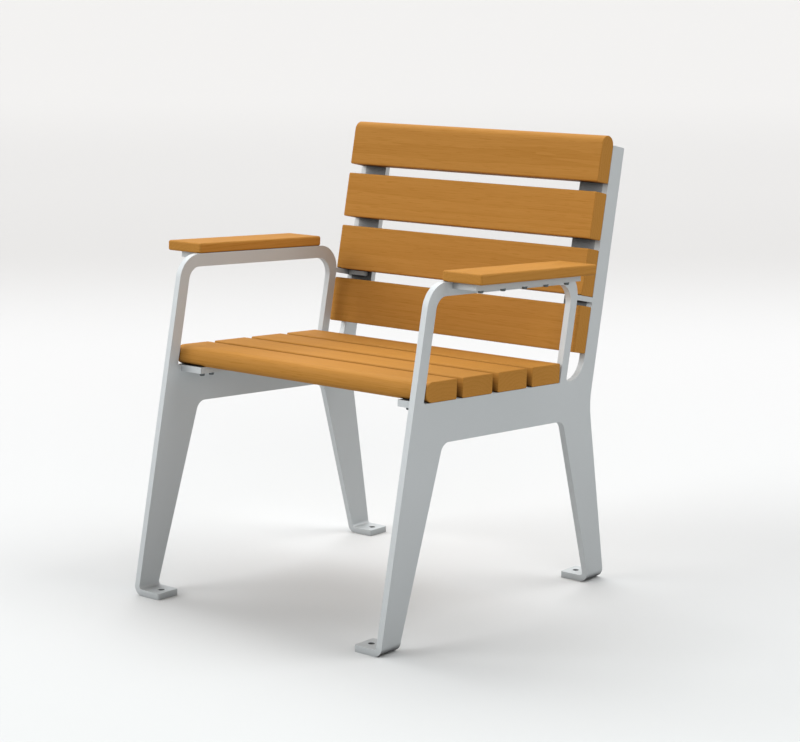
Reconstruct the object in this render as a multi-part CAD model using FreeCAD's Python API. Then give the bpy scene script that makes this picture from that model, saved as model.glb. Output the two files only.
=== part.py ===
import FreeCAD, Part
import math
import os

# Sizes are in millimetres and angles in degrees.
# X runs across the chair, Y from front to back and Z up from the floor.

# Side frame plate
chair_width = 600.0
plate_thickness = 12.0
lean_angle = 12.1
tilt_angle = 3.0
front_post_width = 24.0
front_foot_width = 48.0
front_leg_angle = 19.1
rail_front_height = 420.4
rail_depth = 72.5
arm_front_height = 623.0
arm_bar_depth = 24.0
rear_post_width = 19.4
upright_width = 36.5
knee_height = 345.5
rear_leg_back_angle = 8.9
rear_leg_front_angle = 15.5
rear_foot_width = 48.0

# Rounds of the plate outline
front_bend_outer_radius = 50.0
front_bend_inner_radius = 26.0
rear_bend_outer_radius = 48.0
rear_bend_inner_radius = 33.0
leg_fillet_radius = 21.0
knee_radius = 140.0
window_corner_radius = 4.0
slot_small_radius = 6.0
slot_large_radius = 45.0
upright_corner_radius = 2.0

# Feet folded inward, each with one anchor hole
foot_bend_inner_radius = 6.0
foot_length = 62.0
foot_corner_radius = 4.0
anchor_inset = 44.0
anchor_hole_radius = 6.0

# Timber slats and boards
slat_thickness = 36.0
slat_edge_radius = 3.0
slat_end_radius = 1.5
seat_slat_count = 4
seat_slat_width = 84.3
seat_slat_gap = 16.5
back_slat_count = 4
back_slat_width = 87.0
back_slat_gap = 18.4
back_rise = 47.9
arm_board_width = 86.0
arm_board_thickness = 19.0
arm_board_edge_radius = 4.0

# Flat support bars
bar_thickness = 12.0
bar_width = 51.5
seat_bar_setback = 2.0
seat_bar_rear_setback = 8.0
back_bar_low_setback = 18.0
back_bar_top_setback = 28.0
arm_bar_front_setback = 15.0
arm_bar_rear_setback = 18.0
slat_rest_width = 41.5
slat_rest_depth = 12.0

# Screws
screw_shank_radius = 3.0
screw_head_radius = 5.5
screw_head_face_radius = 4.5
screw_head_height = 6.0
slat_screw_cover = 12.0
board_screw_cover = 6.0
slat_screw_spacing = 24.0
slat_screw_inset = 12.0
nose_screw_shift = 12.0
arm_screw_count = 5
arm_screw_inset = 11.5
arm_screw_end_margin = 27.0

# Clearances
seat_front_clearance = 2.8
seat_rear_clearance = 1.0
slot_clearance = 12.6
bridge_clearance = 0.3
bridge_gap = 8.7
upright_drop = 15.0
hole_clearance = 0.3
board_end_clearance = 1.0
smallest_length = 0.001


def direction(angle):
    turn = math.radians(angle)
    return FreeCAD.Vector(0, math.cos(turn), math.sin(turn))


up_lean = direction(90 - lean_angle)
back_lean = direction(-lean_angle)
up_tilt = direction(90 - tilt_angle)
back_tilt = direction(-tilt_angle)
level = direction(0)
across = FreeCAD.Vector(1, 0, 0)


def shifted(line, offset):
    return (line[0] + offset, line[1])


def crossing(line_a, line_b):
    start_a, way_a = line_a
    start_b, way_b = line_b
    gap = start_b - start_a
    turn = way_a.y * way_b.z - way_a.z * way_b.y
    reach = (gap.y * way_b.z - gap.z * way_b.y) / turn
    return start_a + way_a * reach


def at_height(line, height):
    return crossing(line, (FreeCAD.Vector(0, 0, height), level))


# Each round is shortened where the straight sides next to it are too short for it.
def rounded_outline(corners):
    count = len(corners)
    points = [point for point, radius in corners]
    half_angles = []
    reaches = []
    for index, (point, radius) in enumerate(corners):
        to_last = points[index - 1] - point
        to_next = points[(index + 1) % count] - point
        half = to_last.getAngle(to_next) / 2
        half_angles.append(half)
        reaches.append(radius / math.tan(half))
    shares = [1.0] * count
    for index in range(count):
        after = (index + 1) % count
        side = (points[after] - points[index]).Length
        total = reaches[index] + reaches[after]
        if total > side:
            shares[index] = min(shares[index], side / total)
            shares[after] = min(shares[after], side / total)
    starts = []
    middles = []
    ends = []
    for index, (point, radius) in enumerate(corners):
        to_last = (points[index - 1] - point).normalize()
        to_next = (points[(index + 1) % count] - point).normalize()
        reach = reaches[index] * shares[index]
        inset = radius * shares[index] * (1 / math.sin(half_angles[index]) - 1)
        starts.append(point + to_last * reach)
        ends.append(point + to_next * reach)
        middles.append(point + (to_last + to_next).normalize() * inset)
    edges = []
    for index in range(count):
        if reaches[index] > 0:
            edges.append(Part.Arc(starts[index], middles[index], ends[index]).toShape())
        after = (index + 1) % count
        if (starts[after] - ends[index]).Length > smallest_length:
            edges.append(Part.LineSegment(ends[index], starts[after]).toShape())
    return Part.Face(Part.Wire(edges))


def block(x_from, x_to, corner, length_back, length_up, angle):
    box = Part.makeBox(x_to - x_from, length_back, length_up)
    base = FreeCAD.Vector(x_from, corner.y, corner.z)
    box.Placement = FreeCAD.Placement(base, FreeCAD.Rotation(across, -angle))
    return box


def rod(x, point, radius, way, length):
    base = FreeCAD.Vector(x, point.y, point.z)
    return Part.makeCylinder(radius, length, base, way)


def mirrored(shape):
    return shape.mirror(FreeCAD.Vector(0, 0, 0), across)


# Planes across the chair
outer_x = chair_width / 2
inner_x = outer_x - plate_thickness
foot_bend_radius = foot_bend_inner_radius + plate_thickness
bar_edge_x = inner_x - bar_width
slat_screw_x = bar_edge_x + slat_screw_inset
arm_bar_edge_x = outer_x + bar_width
arm_screw_x = arm_bar_edge_x - arm_screw_inset

# Lines of the front leg, front post, rail and arm in the side view
front_edge = (FreeCAD.Vector(0, 0, 0), up_lean)
front_post_back = shifted(front_edge, back_lean * front_post_width)
front_leg_back = (FreeCAD.Vector(0, front_foot_width, 0), direction(90 - front_leg_angle))
rail_top = (at_height(front_edge, rail_front_height), back_tilt)
rail_bottom = shifted(rail_top, up_tilt * -rail_depth)
arm_top = (at_height(front_edge, arm_front_height), back_tilt)
arm_bottom = shifted(arm_top, up_tilt * -arm_bar_depth)

# Seat slats lie on the rail, behind the front post
nose_radius = slat_thickness / 2
nose_line = shifted(front_post_back, back_lean * (nose_radius + seat_front_clearance))
nose_center = crossing(nose_line, shifted(rail_top, up_tilt * nose_radius))
seat_start = nose_center - up_tilt * nose_radius - back_tilt * nose_radius
seat_step = seat_slat_width + seat_slat_gap
seat_depth = seat_slat_count * seat_step - seat_slat_gap
seat_end = seat_start + back_tilt * seat_depth

# Rear arm post, slot for the back slats and upright follow behind the seat
rear_post_front = (seat_end + back_lean * seat_rear_clearance, up_lean)
rear_post_back = shifted(rear_post_front, back_lean * rear_post_width)
slat_back = shifted(rear_post_back, back_lean * (slat_thickness + slot_clearance))
upright_back = shifted(slat_back, back_lean * upright_width)

# Back slats stand on the slat_back line, counted from the lowest
back_start = crossing(slat_back, rail_top) + up_lean * back_rise
back_step = back_slat_width + back_slat_gap
back_height = back_slat_count * back_step - back_slat_gap
back_end = back_start + up_lean * back_height
upright_top = (back_end - up_lean * upright_drop, back_lean)

# The bridge joins rear post and upright in the gap above the lowest back slat
bridge_height = back_slat_gap - bridge_gap - bridge_clearance
bridge_start = back_start + up_lean * (back_slat_width + bridge_gap)
bridge_bottom = (bridge_start, back_lean)
bridge_top = shifted(bridge_bottom, up_lean * bridge_height)

# Rear leg spreads from the knee in the upright's back edge
knee = at_height(upright_back, knee_height)
rear_leg_back = (knee, direction(90 + rear_leg_back_angle))
rear_heel = at_height(rear_leg_back, 0)
rear_leg_front = (rear_heel - level * rear_foot_width, direction(90 + rear_leg_front_angle))

# Feet take the legs' width at the top of the bend
front_foot = (at_height(front_edge, foot_bend_radius), at_height(front_leg_back, foot_bend_radius))
rear_foot = (at_height(rear_leg_front, foot_bend_radius), at_height(rear_leg_back, foot_bend_radius))

# The chair's middle from front to back becomes the origin
depth_front = front_foot[0].y
depth_back = max(rear_foot[1].y, crossing(upright_back, upright_top).y)
to_origin = FreeCAD.Vector(0, -(depth_front + depth_back) / 2, 0)


# Folded foot: the plate turns inward through a bend and ends in a flat tab with an anchor hole
def folded_foot(toe, heel):
    bend_x = outer_x - foot_bend_radius
    end_x = outer_x - foot_length
    diagonal = math.sqrt(0.5)

    def at(x, z):
        return FreeCAD.Vector(x, toe.y, z)

    def on_bend(radius):
        return at(bend_x + radius * diagonal, foot_bend_radius - radius * diagonal)

    edges = [
        Part.Arc(at(outer_x, foot_bend_radius), on_bend(foot_bend_radius), at(bend_x, 0)).toShape(),
        Part.LineSegment(at(bend_x, 0), at(end_x, 0)).toShape(),
        Part.LineSegment(at(end_x, 0), at(end_x, plate_thickness)).toShape(),
        Part.LineSegment(at(end_x, plate_thickness), at(bend_x, plate_thickness)).toShape(),
        Part.Arc(at(bend_x, plate_thickness), on_bend(foot_bend_inner_radius), at(inner_x, foot_bend_radius)).toShape(),
        Part.LineSegment(at(inner_x, foot_bend_radius), at(outer_x, foot_bend_radius)).toShape(),
    ]
    foot = Part.Face(Part.Wire(edges)).extrude(FreeCAD.Vector(0, heel.y - toe.y, 0))
    end_edges = []
    for edge in foot.Edges:
        upright = abs(edge.tangentAt(edge.FirstParameter).z) > 0.99
        if upright and abs(edge.CenterOfMass.x - end_x) < smallest_length:
            end_edges.append(edge)
    foot = foot.makeFillet(foot_corner_radius, end_edges)
    hole_x = outer_x - anchor_inset
    hole_base = (toe + heel) / 2
    hole = Part.makeCylinder(anchor_hole_radius, plate_thickness, FreeCAD.Vector(hole_x, hole_base.y, 0))
    return foot.cut(hole)


# Side frame plate: one outline with a slot for the back slats, a window under the arm and a bridge over the slot
def side_frame():
    outline = rounded_outline([
        (front_foot[0], 0),
        (crossing(front_edge, arm_top), front_bend_outer_radius),
        (crossing(arm_top, rear_post_back), rear_bend_outer_radius),
        (crossing(rear_post_back, rail_top), slot_small_radius),
        (crossing(rail_top, slat_back), slot_large_radius),
        (crossing(slat_back, upright_top), upright_corner_radius),
        (crossing(upright_top, upright_back), upright_corner_radius),
        (knee, knee_radius),
        (rear_foot[1], 0),
        (rear_foot[0], 0),
        (crossing(rear_leg_front, rail_bottom), leg_fillet_radius),
        (crossing(rail_bottom, front_leg_back), leg_fillet_radius),
        (front_foot[1], 0),
    ])
    window = rounded_outline([
        (crossing(front_post_back, arm_bottom), front_bend_inner_radius),
        (crossing(arm_bottom, rear_post_front), rear_bend_inner_radius),
        (crossing(rear_post_front, rail_top), 0),
        (crossing(rail_top, front_post_back), window_corner_radius),
    ])
    post_middle = shifted(rear_post_back, back_lean * (-rear_post_width / 2))
    upright_middle = shifted(slat_back, back_lean * (upright_width / 2))
    bridge = rounded_outline([
        (crossing(post_middle, bridge_bottom), 0),
        (crossing(upright_middle, bridge_bottom), 0),
        (crossing(upright_middle, bridge_top), 0),
        (crossing(post_middle, bridge_top), 0),
    ])
    plate = outline.cut(window).extrude(across * plate_thickness)
    plate = plate.fuse(bridge.extrude(across * plate_thickness))
    plate.translate(across * inner_x)
    plate = plate.fuse(folded_foot(*front_foot)).fuse(folded_foot(*rear_foot))
    return plate.removeSplitter()


# Slat: a profile in the side view, drawn out across the chair, with its end edges rounded
def slat(corner, wide_way, wide, thick_way, start_radius, end_radius):
    wide_offset = wide_way * wide
    thick_offset = thick_way * slat_thickness
    face = rounded_outline([
        (corner, start_radius),
        (corner + wide_offset, end_radius),
        (corner + wide_offset + thick_offset, end_radius),
        (corner + thick_offset, start_radius),
    ])
    solid = face.extrude(across * chair_width)
    solid.translate(across * -outer_x)
    end_edges = []
    for edge in solid.Edges:
        if abs(abs(edge.CenterOfMass.x) - outer_x) < smallest_length:
            end_edges.append(edge)
    return solid.makeFillet(slat_end_radius, end_edges)


# Screw: a shank with a low conical head that seats at point, looking along way
def screw(x, point, way, length):
    profile = Part.makePolygon([
        FreeCAD.Vector(0, 0, -screw_head_height),
        FreeCAD.Vector(screw_head_face_radius, 0, -screw_head_height),
        FreeCAD.Vector(screw_head_radius, 0, 0),
        FreeCAD.Vector(screw_shank_radius, 0, 0),
        FreeCAD.Vector(screw_shank_radius, 0, length),
        FreeCAD.Vector(0, 0, length),
        FreeCAD.Vector(0, 0, -screw_head_height),
    ])
    solid = Part.Face(profile).revolve(FreeCAD.Vector(0, 0, 0), FreeCAD.Vector(0, 0, 1), 360)
    base = FreeCAD.Vector(x, point.y, point.z)
    solid.Placement = FreeCAD.Placement(base, FreeCAD.Rotation(FreeCAD.Vector(0, 0, 1), way))
    return solid


# Two screw places for each slat, about the middle of its width; the first slat's pair may be shifted
def slat_screw_places(start, wide_way, wide, step, count, first_shift):
    places = []
    for index in range(count):
        shift = first_shift if index == 0 else 0
        middle = start + wide_way * (index * step + wide / 2 + shift)
        places.append(middle - wide_way * (slat_screw_spacing / 2))
        places.append(middle + wide_way * (slat_screw_spacing / 2))
    return places


def drilled(shape, x, places, way, length):
    hole_radius = screw_shank_radius + hole_clearance
    for place in places:
        shape = shape.cut(rod(x, place, hole_radius, way, length))
    return shape


def screw_group(x, places, way, length):
    return Part.makeCompound([screw(x, place, way, length) for place in places])


nodes = {}


def add_pair(name, right_shape):
    nodes[name + "_right"] = right_shape
    nodes[name + "_left"] = mirrored(right_shape)


# Seat: bar under the slat ends, slats on top, screws from below
slat_screw_bite = slat_thickness - slat_screw_cover
slat_screw_length = bar_thickness + slat_screw_bite
seat_bar_start = seat_start + back_tilt * seat_bar_setback - up_tilt * bar_thickness
seat_bar_length = seat_depth - seat_bar_setback - seat_bar_rear_setback
seat_places = slat_screw_places(
    seat_start, back_tilt, seat_slat_width, seat_step, seat_slat_count, -nose_screw_shift)
seat_seats = [place - up_tilt * bar_thickness for place in seat_places]
seat_bar = block(bar_edge_x, inner_x, seat_bar_start, seat_bar_length, bar_thickness, tilt_angle)
add_pair("seat_support_bar", drilled(seat_bar, slat_screw_x, seat_seats, up_tilt, bar_thickness))
add_pair("seat_screws", screw_group(slat_screw_x, seat_seats, up_tilt, slat_screw_length))

for index in range(seat_slat_count):
    front_radius = nose_radius if index == 0 else slat_edge_radius
    corner = seat_start + back_tilt * (index * seat_step)
    piece = slat(corner, back_tilt, seat_slat_width, up_tilt, front_radius, slat_edge_radius)
    own_places = seat_places[2 * index:2 * index + 2]
    for x in (-slat_screw_x, slat_screw_x):
        piece = drilled(piece, x, own_places, up_tilt, slat_screw_bite + hole_clearance)
    nodes["seat_slat_%d" % (index + 1)] = piece

# Back: bar behind the slat ends, slats in front of it, screws from behind
forward = back_lean * -1
back_bar_start = back_start + up_lean * back_bar_low_setback
back_bar_length = back_height - back_bar_low_setback - back_bar_top_setback
back_places = slat_screw_places(back_start, up_lean, back_slat_width, back_step, back_slat_count, 0)
back_seats = [place + back_lean * bar_thickness for place in back_places]
back_bar = block(bar_edge_x, inner_x, back_bar_start, bar_thickness, back_bar_length, lean_angle)
add_pair("back_support_bar", drilled(back_bar, slat_screw_x, back_seats, forward, bar_thickness))
add_pair("back_screws", screw_group(slat_screw_x, back_seats, forward, slat_screw_length))

for index in range(back_slat_count):
    top_radius = nose_radius if index == back_slat_count - 1 else slat_edge_radius
    corner = back_start + up_lean * (index * back_step)
    piece = slat(corner, up_lean, back_slat_width, forward, slat_edge_radius, top_radius)
    own_places = back_places[2 * index:2 * index + 2]
    for x in (-slat_screw_x, slat_screw_x):
        piece = drilled(piece, x, own_places, forward, slat_screw_bite + hole_clearance)
    nodes["back_slat_%d" % (back_slat_count - index)] = piece

# Slat rest: a lug on the bar and plate, level with the bridge
rest_start = bridge_start - back_lean * slat_rest_depth
rest_x = inner_x - slat_rest_width
add_pair("slat_rest", block(rest_x, inner_x, rest_start, slat_rest_depth, bridge_height, lean_angle))

# Arms: the board covers the straight top of the arm bar, with a bar outside the plate under it
front_bend_reach = front_bend_outer_radius * math.tan(math.radians(90 - lean_angle + tilt_angle) / 2)
rear_bend_reach = rear_bend_outer_radius * math.tan(math.radians(90 + lean_angle - tilt_angle) / 2)
board_start = crossing(front_edge, arm_top) + back_tilt * (front_bend_reach + board_end_clearance)
board_end = crossing(arm_top, rear_post_back) - back_tilt * (rear_bend_reach + board_end_clearance)
board_length = (board_end - board_start).Length
board_outer_x = inner_x + arm_board_width
board_screw_bite = arm_board_thickness - board_screw_cover
arm_bar_start = board_start + back_tilt * arm_bar_front_setback - up_tilt * bar_thickness
arm_bar_length = board_length - arm_bar_front_setback - arm_bar_rear_setback
arm_screw_pitch = (arm_bar_length - 2 * arm_screw_end_margin) / (arm_screw_count - 1)
arm_seats = []
for index in range(arm_screw_count):
    arm_seats.append(arm_bar_start + back_tilt * (arm_screw_end_margin + index * arm_screw_pitch))
arm_places = [seat + up_tilt * bar_thickness for seat in arm_seats]

board = block(inner_x, board_outer_x, board_start, board_length, arm_board_thickness, tilt_angle)
board = board.makeFillet(arm_board_edge_radius, board.Edges)
add_pair("arm_board", drilled(board, arm_screw_x, arm_places, up_tilt, board_screw_bite + hole_clearance))
arm_bar = block(outer_x, arm_bar_edge_x, arm_bar_start, arm_bar_length, bar_thickness, tilt_angle)
add_pair("arm_support_bar", drilled(arm_bar, arm_screw_x, arm_seats, up_tilt, bar_thickness))
add_pair("arm_screws", screw_group(arm_screw_x, arm_seats, up_tilt, bar_thickness + board_screw_bite))

add_pair("side_frame", side_frame())

os.makedirs("parts", exist_ok=True)
for name, shape in nodes.items():
    shape.translate(to_origin)
    shape.exportStep("parts/%s.step" % name)
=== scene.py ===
import math

import bmesh
import bpy
import numpy as np
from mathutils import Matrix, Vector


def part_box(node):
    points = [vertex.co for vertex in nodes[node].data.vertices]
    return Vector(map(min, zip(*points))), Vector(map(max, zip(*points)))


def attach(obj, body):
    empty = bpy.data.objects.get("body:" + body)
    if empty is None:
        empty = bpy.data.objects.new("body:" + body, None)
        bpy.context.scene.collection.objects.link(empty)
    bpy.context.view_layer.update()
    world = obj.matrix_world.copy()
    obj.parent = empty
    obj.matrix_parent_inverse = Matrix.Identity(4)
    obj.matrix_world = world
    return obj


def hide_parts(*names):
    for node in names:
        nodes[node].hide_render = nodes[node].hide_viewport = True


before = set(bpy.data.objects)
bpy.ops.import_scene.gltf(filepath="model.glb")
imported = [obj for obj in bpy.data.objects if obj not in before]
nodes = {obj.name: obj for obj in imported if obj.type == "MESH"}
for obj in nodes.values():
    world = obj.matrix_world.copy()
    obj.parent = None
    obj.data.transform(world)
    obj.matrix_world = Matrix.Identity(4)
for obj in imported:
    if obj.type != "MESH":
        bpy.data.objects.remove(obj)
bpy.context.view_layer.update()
scene = bpy.context.scene
scene.view_settings.view_transform = "Standard"
print("frame loaded:", len(nodes), "nodes")

mm = 0.001  # one millimetre in metres


# sRGB hex to linear: the low part is a straight line, the rest a power of 2.4
def hexToLinear(code):
    parts = np.array([int(code[i:i + 2], 16) for i in (1, 3, 5)]) / 255.0
    low = parts / 12.92
    high = ((parts + 0.055) / 1.055) ** 2.4
    return (*np.where(parts <= 0.04045, low, high), 1.0)


# a hex colour made lighter or darker by a factor
def shaded(code, factor):
    return (*(factor * v for v in hexToLinear(code)[:3]), 1.0)


# adds one node: settings are its properties, ins its inputs, either values or sockets to link from
def addNode(tree, kind, ins=None, **settings):
    node = tree.nodes.new(kind)
    for name, value in settings.items():
        setattr(node, name, value)
    for name, value in (ins or {}).items():
        if isinstance(value, bpy.types.NodeSocket):
            tree.links.new(value, node.inputs[name])
        else:
            node.inputs[name].default_value = value
    return node


# from the first colour at share 0 to the second at share 1; a mix of colours uses inputs 0, 6, 7 and output 2
def mixColours(tree, share, first, second):
    return addNode(tree, "ShaderNodeMix", {0: share, 6: first, 7: second}, data_type="RGBA").outputs[2]


def addNoise(tree, place, size, detail):
    noise = addNode(tree, "ShaderNodeTexNoise", {"Vector": place, "Scale": 1 / size, "Detail": detail})
    return noise.outputs["Fac"]


# a value carried from one range to another and held at its ends
def addRange(tree, value, source, target=(0.0, 1.0), kind="LINEAR"):
    return addNode(tree, "ShaderNodeMapRange", {
        "Value": value, "From Min": source[0], "From Max": source[1],
        "To Min": target[0], "To Max": target[1]}, interpolation_type=kind).outputs["Result"]


def addMath(tree, operation, *values):
    return addNode(tree, "ShaderNodeMath", dict(enumerate(values)), operation=operation).outputs[0]


def newMaterial(name):
    material = bpy.data.materials.new(name)
    material.use_nodes = True
    tree = material.node_tree
    tree.nodes.clear()
    return material, tree


def dress(nodeName, material):
    for slot in nodes[nodeName].material_slots:
        slot.material = material


# painted shade: the colour turns to a dark tone where nearby surfaces close a place in, as in gaps;
# a place that is open by no more than the start takes the full tone, and from the end on it keeps its colour
def addPaintedShade(tree, colour, dirt, reach, start, end):
    near = addNode(tree, "ShaderNodeAmbientOcclusion", {"Distance": reach}, samples=16)
    unshaded = addRange(tree, near.outputs["AO"], (start, end), kind="SMOOTHSTEP")
    return mixColours(tree, unshaded, hexToLinear(dirt), colour)


# camera, fitted to the picture, which is 800 by 742: metres, degrees, and millimetres for lens and sensor
cameraSet = {"place": (2.57429, -3.02792, 1.13940), "turn": (79.563, 0.033, 39.825), "sight": 200.0,
             "lens": 97.944, "sensor": 36.0}


def placeCamera(s):
    data = bpy.data.cameras.new("camera")
    data.lens = s["lens"]
    data.sensor_width = s["sensor"]
    data.clip_end = s["sight"]
    camera = bpy.data.objects.new("camera", data)
    camera.location = s["place"]
    camera.rotation_euler = [math.radians(a) for a in s["turn"]]
    scene.collection.objects.link(camera)
    scene.camera = camera


placeCamera(cameraSet)
print("camera placed")

# satin powder coat on mild steel: an even light grey skin with some metal flake, and a faint peel that
# softens reflections; cloud and peel are size and noise detail
steelSet = {"nodes": ("side_frame", "seat_support", "back_support", "arm_support", "slat_rest"),
            "colour": "#c6cacc", "deep": "#c1c6c7", "cloud": (180 * mm, 3.0),
            "flake": 0.35, "roughness": 0.6, "ior": 1.5,
            "peel": (4 * mm, 1.0),  # real peel is about 1.5 mm wide, drawn coarser to show
            "peelDepth": 0.05 * mm, "peelStrength": 0.6,
            # painted shade: this dark tone is laid in gaps and closed-in places over this reach, and low on
            # the legs
            "dirt": "#434445", "dirtReach": 45 * mm, "dirtStart": 0.1,
            "film": 0.1, "filmHeight": 300 * mm,  # share of painted shade on the legs at the ground, and where it ends
            "splash": (150 * mm, 350 * mm),  # between these heights the painted shade weakens upward on the frames, but not on the bars
            "dirtEnd": {"bars": (0.7, 0.7), "frames": (0.7, 0.25)}}  # painted shade end, below and above those heights


def makePowderCoat(s, where):
    material, tree = newMaterial("satinPowderCoatOnSteel_" + where)
    place = addNode(tree, "ShaderNodeTexCoord").outputs["Object"]
    height = addNode(tree, "ShaderNodeSeparateXYZ", {"Vector": place}).outputs["Z"]
    cloud = addNoise(tree, place, *s["cloud"])
    tone = mixColours(tree, cloud, hexToLinear(s["deep"]), hexToLinear(s["colour"]))
    # painted shade: darker towards the ground
    film = addRange(tree, height, (0.0, s["filmHeight"]), (s["film"], 0.0))
    lowShaded = mixColours(tree, film, tone, hexToLinear(s["dirt"]))
    # painted shade in gaps and closed-in places, weaker high up on the frames
    dirtEnd = addRange(tree, height, s["splash"], s["dirtEnd"][where])
    skin = addPaintedShade(tree, lowShaded, s["dirt"], s["dirtReach"], s["dirtStart"], dirtEnd)
    peel = addNoise(tree, place, *s["peel"])
    bump = addNode(tree, "ShaderNodeBump", {
        "Height": peel, "Strength": s["peelStrength"], "Distance": s["peelDepth"]})
    coat = addNode(tree, "ShaderNodeBsdfPrincipled", {
        "Base Color": skin, "Metallic": s["flake"], "Roughness": s["roughness"], "IOR": s["ior"],
        "Normal": bump.outputs["Normal"]})
    addNode(tree, "ShaderNodeOutputMaterial", {"Surface": coat.outputs["BSDF"]})
    return material


coats = {where: makePowderCoat(steelSet, where) for where in steelSet["dirtEnd"]}
steelNodes = [n for n in nodes if n.startswith(steelSet["nodes"])]
coatOf = {n: coats["bars" if "bar" in n else "frames"] for n in steelNodes}
for name in steelNodes:
    dress(name, coatOf[name])

# plate and bars leave the laser with sharp edges that are broken before painting, so a thin light line runs
# along them; in degrees, faces that meet at more than sharper have their edge broken, and at less than flat
# they become one
edgeSet = {"width": 0.9 * mm, "segments": 2, "sharper": 35.0, "flat": 0.5}
cornerStep = 0.002 * mm  # corners that round to the same step are one


# a node's loose triangles with their shared corners joined
def joinedMesh(nodeName):
    source = nodes[nodeName].data
    points = np.empty(3 * len(source.vertices))
    source.vertices.foreach_get("co", points)
    points = points.reshape(-1, 3)
    corners = np.empty(3 * len(source.polygons), int)
    source.polygons.foreach_get("vertices", corners)
    steps = np.round(points / cornerStep).astype(np.int64)
    places, joined = np.unique(steps, axis=0, return_inverse=True)
    first = np.empty(len(places), int)
    first[joined] = np.arange(len(points))
    faces = joined[corners].reshape(-1, 3)
    whole = (faces[:, 0] != faces[:, 1]) & (faces[:, 1] != faces[:, 2]) & (faces[:, 2] != faces[:, 0])
    return points[first], faces[whole]


def addPiece(nodeName, ending, mesh, material):
    mesh.materials.append(material)
    piece = bpy.data.objects.new(nodeName + ending, mesh)
    scene.collection.objects.link(piece)
    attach(piece, "root")
    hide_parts(nodeName)
    return piece


# the node's own faces, flat ones joined up, and each sharp edge rounded off
def breakEdges(nodeName, s):
    points, faces = joinedMesh(nodeName)
    mesh = bpy.data.meshes.new(nodeName + "_edged")
    mesh.from_pydata(points, [], faces.tolist())
    shape = bmesh.new()
    shape.from_mesh(mesh)
    bmesh.ops.dissolve_limit(shape, angle_limit=math.radians(s["flat"]), verts=shape.verts, edges=shape.edges)
    shape.to_mesh(mesh)
    shape.free()
    mesh.shade_smooth()
    mesh.set_sharp_from_angle(angle=math.radians(s["sharper"]))
    piece = addPiece(nodeName, "_edged", mesh, coatOf[nodeName])
    bevel = piece.modifiers.new("brokenEdges", "BEVEL")
    bevel.width = s["width"]
    bevel.segments = s["segments"]
    bevel.limit_method = "ANGLE"
    bevel.angle_limit = math.radians(s["sharper"])
    bevel.harden_normals = True


for name in steelNodes:
    breakEdges(name, edgeSet)
print("steel painted")

# oiled pine, planed: growth rings run with the board, so long faces show flames and ends show arcs,
# with fine fibres and short resin flecks along them; the oil leaves the face almost matt.
# Streaks, fibres and flecks are width across the grain and noise detail, and long scales draw them out
timberSet = {"early": "#be8740", "late": "#b07930", "roughness": 0.62, "roughSpread": 0.05, "specular": 0.07,
             "longScale": 0.05, "fibreLongScale": 0.015,
             "ringGap": 7 * mm, "waveStep": 0.314,  # at scale 1 a wave texture repeats after this many metres
             "ringWaver": 7.0, "ringDetail": 3.0, "ringDetailScale": 0.5, "ringPower": 2.5, "ringWeight": 0.9,
             "streaks": (14 * mm, 3.0),
             "fibres": (1.2 * mm, 2.0),  # real fibres are well under 1 mm wide, drawn coarser to show
             "fibreRange": (0.36, 0.64), "fibreWeight": 0.4, "fibreDepth": 0.05 * mm, "fibreStrength": 0.35,
             "flecks": (1.6 * mm, 0.0), "fleckRange": (0.66, 0.74), "fleckWeight": 0.6,
             # painted shade: a dark brown laid in gaps and closed-in places over this reach
             "dirt": "#41270b", "dirtReach": 40 * mm, "dirtStart": 0.05, "dirtEnd": 0.62}


# the rings' axis is the X axis of the board's own coordinates
def makeTimber(name, s, turn, shift, shade):
    material, tree = newMaterial(name)
    place = addNode(tree, "ShaderNodeTexCoord").outputs["Object"]
    board = addNode(tree, "ShaderNodeMapping", {
        "Vector": place, "Location": shift, "Rotation": (0.0, 0.0, turn)}).outputs["Vector"]
    long, longer = (
        addNode(tree, "ShaderNodeMapping", {"Vector": board, "Scale": (along, 1.0, 1.0)}).outputs["Vector"]
        for along in (s["longScale"], s["fibreLongScale"]))
    rings = addNode(tree, "ShaderNodeTexWave", {
        "Vector": long, "Scale": s["waveStep"] / s["ringGap"], "Distortion": s["ringWaver"],
        "Detail": s["ringDetail"], "Detail Scale": s["ringDetailScale"]},
        wave_type="RINGS", rings_direction="X", wave_profile="SAW").outputs["Fac"]
    lateWood = addMath(tree, "POWER", rings, s["ringPower"])
    lines = addMath(tree, "MULTIPLY", lateWood, addNoise(tree, long, *s["streaks"]))
    fibres = addRange(tree, addNoise(tree, longer, *s["fibres"]), s["fibreRange"])
    flecks = addRange(tree, addNoise(tree, long, *s["flecks"]), s["fleckRange"], (0.0, s["fleckWeight"]))
    fine = addMath(tree, "MULTIPLY_ADD", fibres, s["fibreWeight"], flecks)
    grain = addMath(tree, "MULTIPLY_ADD", lines, s["ringWeight"], fine)
    tone = mixColours(tree, grain, shaded(s["early"], shade), shaded(s["late"], shade))
    # painted shade in the gaps between boards and other closed-in places
    face = addPaintedShade(tree, tone, s["dirt"], s["dirtReach"], s["dirtStart"], s["dirtEnd"])
    smooth, dull = s["roughness"] - s["roughSpread"], s["roughness"] + s["roughSpread"]
    rough = addRange(tree, grain, (0.0, 1.0), (dull, smooth))
    bump = addNode(tree, "ShaderNodeBump", {
        "Height": grain, "Strength": s["fibreStrength"], "Distance": s["fibreDepth"]})
    wood = addNode(tree, "ShaderNodeBsdfPrincipled", {
        "Base Color": face, "Roughness": rough, "Specular IOR Level": s["specular"],
        "Normal": bump.outputs["Normal"]})
    addNode(tree, "ShaderNodeOutputMaterial", {"Surface": wood.outputs["BSDF"]})
    return material


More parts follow.
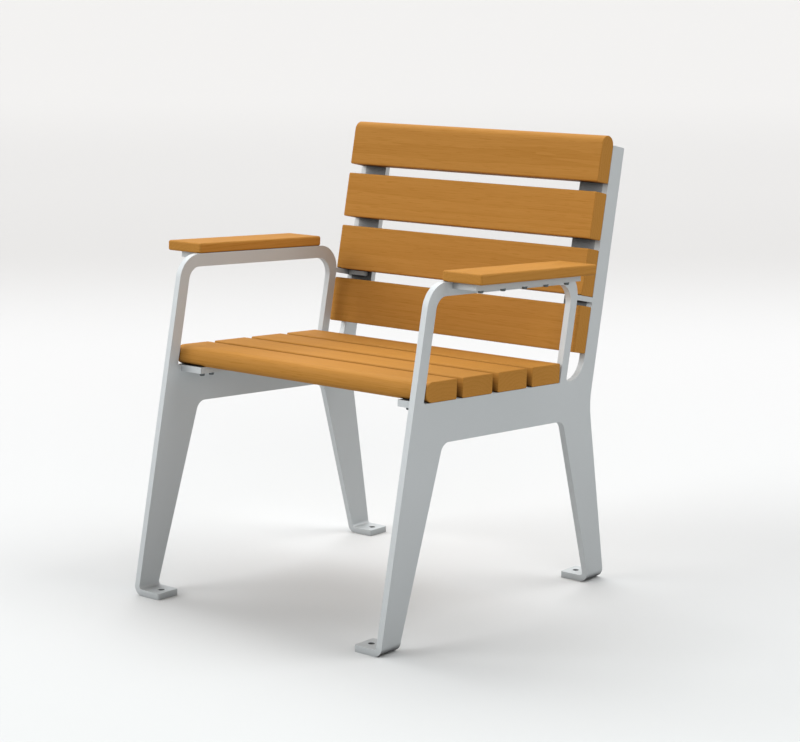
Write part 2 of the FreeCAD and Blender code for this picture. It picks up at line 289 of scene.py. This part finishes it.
# each board is cut from its own log: the pith lies off the middle of its broad face, under a seat slat or
# an arm board and behind a back slat. Depth, side, place along the log and shade change from board to board
boardSet = {"nodes": ("seat_slat", "back_slat", "arm_board"), "depth": 56 * mm, "depthStep": 10.5 * mm,
            "depths": 4, "asideStep": 11 * mm, "alongStep": 830 * mm, "shadeStep": 0.012}


# a whole number from -2 to 2 that changes with the index
def mixedStep(index, stride):
    return index * stride % 5 - 2


def dressBoard(index, nodeName, s):
    low, high = (np.array(corner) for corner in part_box(nodeName))
    middle = (low + high) / 2
    turn = 0.0
    if nodeName.startswith("arm"):  # the arm boards run front to back
        turn = math.radians(90)
        middle = np.array((-middle[1], middle[0], middle[2]))
    depth = s["depth"] + s["depthStep"] * (index % s["depths"])
    aside = s["asideStep"] * mixedStep(index, 2)
    along = s["alongStep"] * index
    fromPith = (along, -depth, aside) if nodeName.startswith("back") else (along, aside, depth)
    shade = 1.0 + s["shadeStep"] * mixedStep(index, 3)
    dress(nodeName, makeTimber("oiledPine%d" % (index + 1), timberSet, turn, fromPith - middle, shade))


for index, name in enumerate(sorted(n for n in nodes if n.startswith(boardSet["nodes"]))):
    dressBoard(index, name, boardSet)
print("timber dressed")

# stainless screws, dull, with a socket for a hexagon key in the head, their colour made dark as painted shade
# for the shade they sit in under the bars; marks are size and noise detail, and the last three are used to
# read a screw's sizes and to shade it
screwSet = {"colour": "#565b5c", "toneSpread": 0.15, "roughness": 0.42, "roughSpread": 0.08,
            "marks": (3 * mm, 2.0),
            "keyAcross": 4.0 * mm, "keyDepth": 3.0 * mm, "mouth": 2.6 * mm, "mouthDepth": 0.2 * mm,
            "rim": 0.7 * mm, "rimBend": (0, 30, 60, 90), "tip": 1.2 * mm, "sides": 24,
            "widest": 0.97, "slice": 0.1 * mm, "sharper": 35.0}


def makeStainless(s):
    material, tree = newMaterial("stainlessSteelScrew")
    place = addNode(tree, "ShaderNodeTexCoord").outputs["Object"]
    marks = addNoise(tree, place, *s["marks"])
    darker, lighter = (shaded(s["colour"], 1 + side * s["toneSpread"]) for side in (-1, 1))
    tone = mixColours(tree, marks, darker, lighter)
    smooth, dull = s["roughness"] - s["roughSpread"], s["roughness"] + s["roughSpread"]
    rough = addRange(tree, marks, (0.0, 1.0), (smooth, dull))
    steel = addNode(tree, "ShaderNodeBsdfPrincipled", {
        "Base Color": tone, "Metallic": 1.0, "Roughness": rough})
    addNode(tree, "ShaderNodeOutputMaterial", {"Surface": steel.outputs["BSDF"]})
    return material


# the separate solids of a node: each corner takes the lowest number among its neighbours until none changes
def looseSolids(nodeName):
    points, faces = joinedMesh(nodeName)
    label = np.arange(len(points))
    while True:
        lowest = label[faces].min(axis=1)
        fresh = label.copy()
        np.minimum.at(fresh, faces.ravel(), np.repeat(lowest, 3))
        if np.array_equal(fresh, label):
            return [points[label == k] for k in np.unique(label)]
        label = fresh


# one screw as rings about its axis, from the floor of the socket round the head to the tip: a ring's radius
# is a circle's, or in the socket that of a hexagon, half its width divided by the cosine of the angle from
# the nearest flat; the corners of the CAD solid give place, axis and sizes
def screwRings(solid, s):
    centre = solid.mean(axis=0)
    axis = np.linalg.eigh(np.cov((solid - centre).T))[1][:, 2]  # the way in which the corners spread most
    along = (solid - centre) @ axis
    radius = np.linalg.norm(solid - centre - along[:, None] * axis, axis=1)
    seat = along[radius > s["widest"] * radius.max()].mean()  # the head is widest where it sits on the bar
    if seat > (along.min() + along.max()) / 2:  # the axis runs from head to tip
        axis, along, seat = -axis, -along, -seat
    face, end = along.min() - seat, along.max() - seat
    headRadius = radius.max()
    faceRadius = radius[along < along.min() + s["slice"]].max()
    shankRadius = radius[along > along.max() - s["slice"]].max()
    turn = np.linspace(0, 2 * np.pi, s["sides"], endpoint=False)
    flat = np.pi / 3
    key = s["keyAcross"] / 2 / np.cos((turn + flat / 2) % flat - flat / 2)
    circle = np.ones(s["sides"])
    rings = [(key, face + s["keyDepth"]), (key, face + s["mouthDepth"]), (s["mouth"] * circle, face)]
    for bend in np.radians(s["rimBend"]):
        inward, down = s["rim"] * (1 - np.sin(bend)), s["rim"] * (1 - np.cos(bend))
        rings.append(((faceRadius - inward) * circle, face + down))
    rings += [(headRadius * circle, 0.0), (shankRadius * circle, 0.0), (shankRadius * circle, end - s["tip"]),
              ((shankRadius - s["tip"]) * circle, end)]
    radii = np.array([r for r, z in rings])
    heights = np.array([z for r, z in rings])
    side = np.cross(axis, (1.0, 0.0, 0.0))  # no screw runs along X
    side /= np.linalg.norm(side)
    other = np.cross(axis, side)
    start = centre + seat * axis
    return (start + radii[:, :, None] * (np.cos(turn)[:, None] * side + np.sin(turn)[:, None] * other)
            + heights[:, None, None] * axis)


# every ring is joined to the next by four-sided faces, and one face each closes the first and the last ring
def makeScrews(nodeName, s, material):
    screws = np.array([screwRings(solid, s) for solid in looseSolids(nodeName)])
    count, rings, sides = screws.shape[:3]
    number = np.arange(screws[..., 0].size).reshape(count, rings, sides)
    ahead = np.roll(number, -1, axis=2)
    walls = np.stack([number[:, :-1], ahead[:, :-1], ahead[:, 1:], number[:, 1:]], axis=-1).reshape(-1, 4)
    faces = walls.tolist() + number[:, 0, ::-1].tolist() + number[:, -1].tolist()
    mesh = bpy.data.meshes.new(nodeName + "_turned")
    mesh.from_pydata(screws.reshape(-1, 3), [], faces)
    mesh.shade_smooth()
    mesh.set_sharp_from_angle(angle=math.radians(s["sharper"]))
    addPiece(nodeName, "_turned", mesh, material)


stainless = makeStainless(screwSet)
for name in [n for n in nodes if "screws" in n]:
    dress(name, stainless)
    makeScrews(name, screwSet, stainless)
print("screws turned")

# floor: a wide flat sheet, seen pale with a soft change of tone along the camera's view, and giving less
# light back than it shows; tones are metres behind the middle of the chair, and colour
floorSet = {"half": 150.0, "turn": cameraSet["turn"][2], "bounce": "#a8a8a8",
            "tones": ((-4.0, "#d1d2d2"), (-1.0, "#d3d5d5"), (0.6, "#d6d7d7"), (2.4, "#d7d7d7"),
                      (5.0, "#c8c7c6"), (8.0, "#cac9c8"), (16.0, "#d0cfce"))}


# 1 where a ray shows the surface, straight or in a reflection, and 0 where it carries light on
def addSeenRays(tree):
    rays = addNode(tree, "ShaderNodeLightPath").outputs
    seen = addMath(tree, "MAXIMUM", rays["Is Camera Ray"], rays["Is Glossy Ray"])
    return addMath(tree, "MAXIMUM", seen, rays["Is Transmission Ray"])


# a smooth run of tones: stops are (place from 0 to 1, colour)
def addRamp(tree, value, stops):
    ramp = addNode(tree, "ShaderNodeValToRGB", {"Fac": value})
    ramp.color_ramp.interpolation = "EASE"
    elements = ramp.color_ramp.elements
    for index, (at, tone) in enumerate(stops):
        stop = elements[index] if index < 2 else elements.new(1.0)  # a new ramp has two stops
        stop.position = at
        stop.color = hexToLinear(tone)
    return ramp.outputs["Color"]


def makeFloor(s):
    h = s["half"]
    mesh = bpy.data.meshes.new("floor")
    mesh.from_pydata([(-h, -h, 0), (h, -h, 0), (h, h, 0), (-h, h, 0)], [], [(0, 1, 2, 3)])
    floor = bpy.data.objects.new("floor", mesh)
    scene.collection.objects.link(floor)
    material, tree = newMaterial("paleFloor")
    place = addNode(tree, "ShaderNodeTexCoord").outputs["Object"]
    turned = addNode(tree, "ShaderNodeMapping", {
        "Vector": place, "Rotation": (0.0, 0.0, -math.radians(s["turn"]))})
    depth = addNode(tree, "ShaderNodeSeparateXYZ", {"Vector": turned.outputs["Vector"]}).outputs["Y"]
    near, far = s["tones"][0][0], s["tones"][-1][0]
    stops = [((at - near) / (far - near), tone) for at, tone in s["tones"]]
    shade = addRamp(tree, addRange(tree, depth, (near, far)), stops)
    tone = mixColours(tree, addSeenRays(tree), hexToLinear(s["bounce"]), shade)
    sheet = addNode(tree, "ShaderNodeBsdfDiffuse", {"Color": tone})
    addNode(tree, "ShaderNodeOutputMaterial", {"Surface": sheet.outputs["BSDF"]})
    mesh.materials.append(material)


makeFloor(floorSet)
print("floor laid")

# soft studio light: wide lamps high behind and overhead, low wide fills in front and at the left, and a faint
# room; together they give about 1.4 on a level face and 0.8 on one to the front, so colours render about as
# written. Each lamp is level, azimuth from the front to the right, and height in degrees
lightSet = {"room": 0.045, "spread": 40.0,
            "backdrop": ((0.0, "#f5f4f3"), (0.16, "#c2c2c2"), (1.0, "#acacac")),  # from the horizon up
            "lamps": {"behindRight": (0.38, 130, 50), "behindLeft": (0.435, 228, 50),
                      "overhead": (0.24, 180, 73), "frontRight": (0.28, 50, 18),
                      "frontLeft": (0.55, 320, 30), "left": (0.33, 270, 30)}}


def makeLight(s):
    world = bpy.data.worlds.new("studio")
    world.use_nodes = True
    scene.world = world
    tree = world.node_tree
    tree.nodes.clear()
    room = addNode(tree, "ShaderNodeBackground", {"Color": (1.0, 1.0, 1.0, 1.0), "Strength": s["room"]})
    way = addNode(tree, "ShaderNodeTexCoord").outputs["Generated"]
    up = addNode(tree, "ShaderNodeSeparateXYZ", {"Vector": way}).outputs["Z"]
    shade = addRamp(tree, up, s["backdrop"])
    backdrop = addNode(tree, "ShaderNodeBackground", {"Color": shade, "Strength": 1.0})
    both = addNode(tree, "ShaderNodeMixShader", {
        0: addSeenRays(tree), 1: room.outputs["Background"], 2: backdrop.outputs["Background"]})
    addNode(tree, "ShaderNodeOutputWorld", {"Surface": both.outputs["Shader"]})
    for name, (level, azimuth, height) in s["lamps"].items():
        data = bpy.data.lights.new(name, "SUN")
        data.energy = level * math.pi  # a sun of strength pi gives 1 on a face turned to it
        data.angle = math.radians(s["spread"])
        lamp = bpy.data.objects.new(name, data)
        lamp.rotation_euler = (math.radians(90 - height), 0.0, math.radians(azimuth))
        scene.collection.objects.link(lamp)


makeLight(lightSet)
print("lights set")
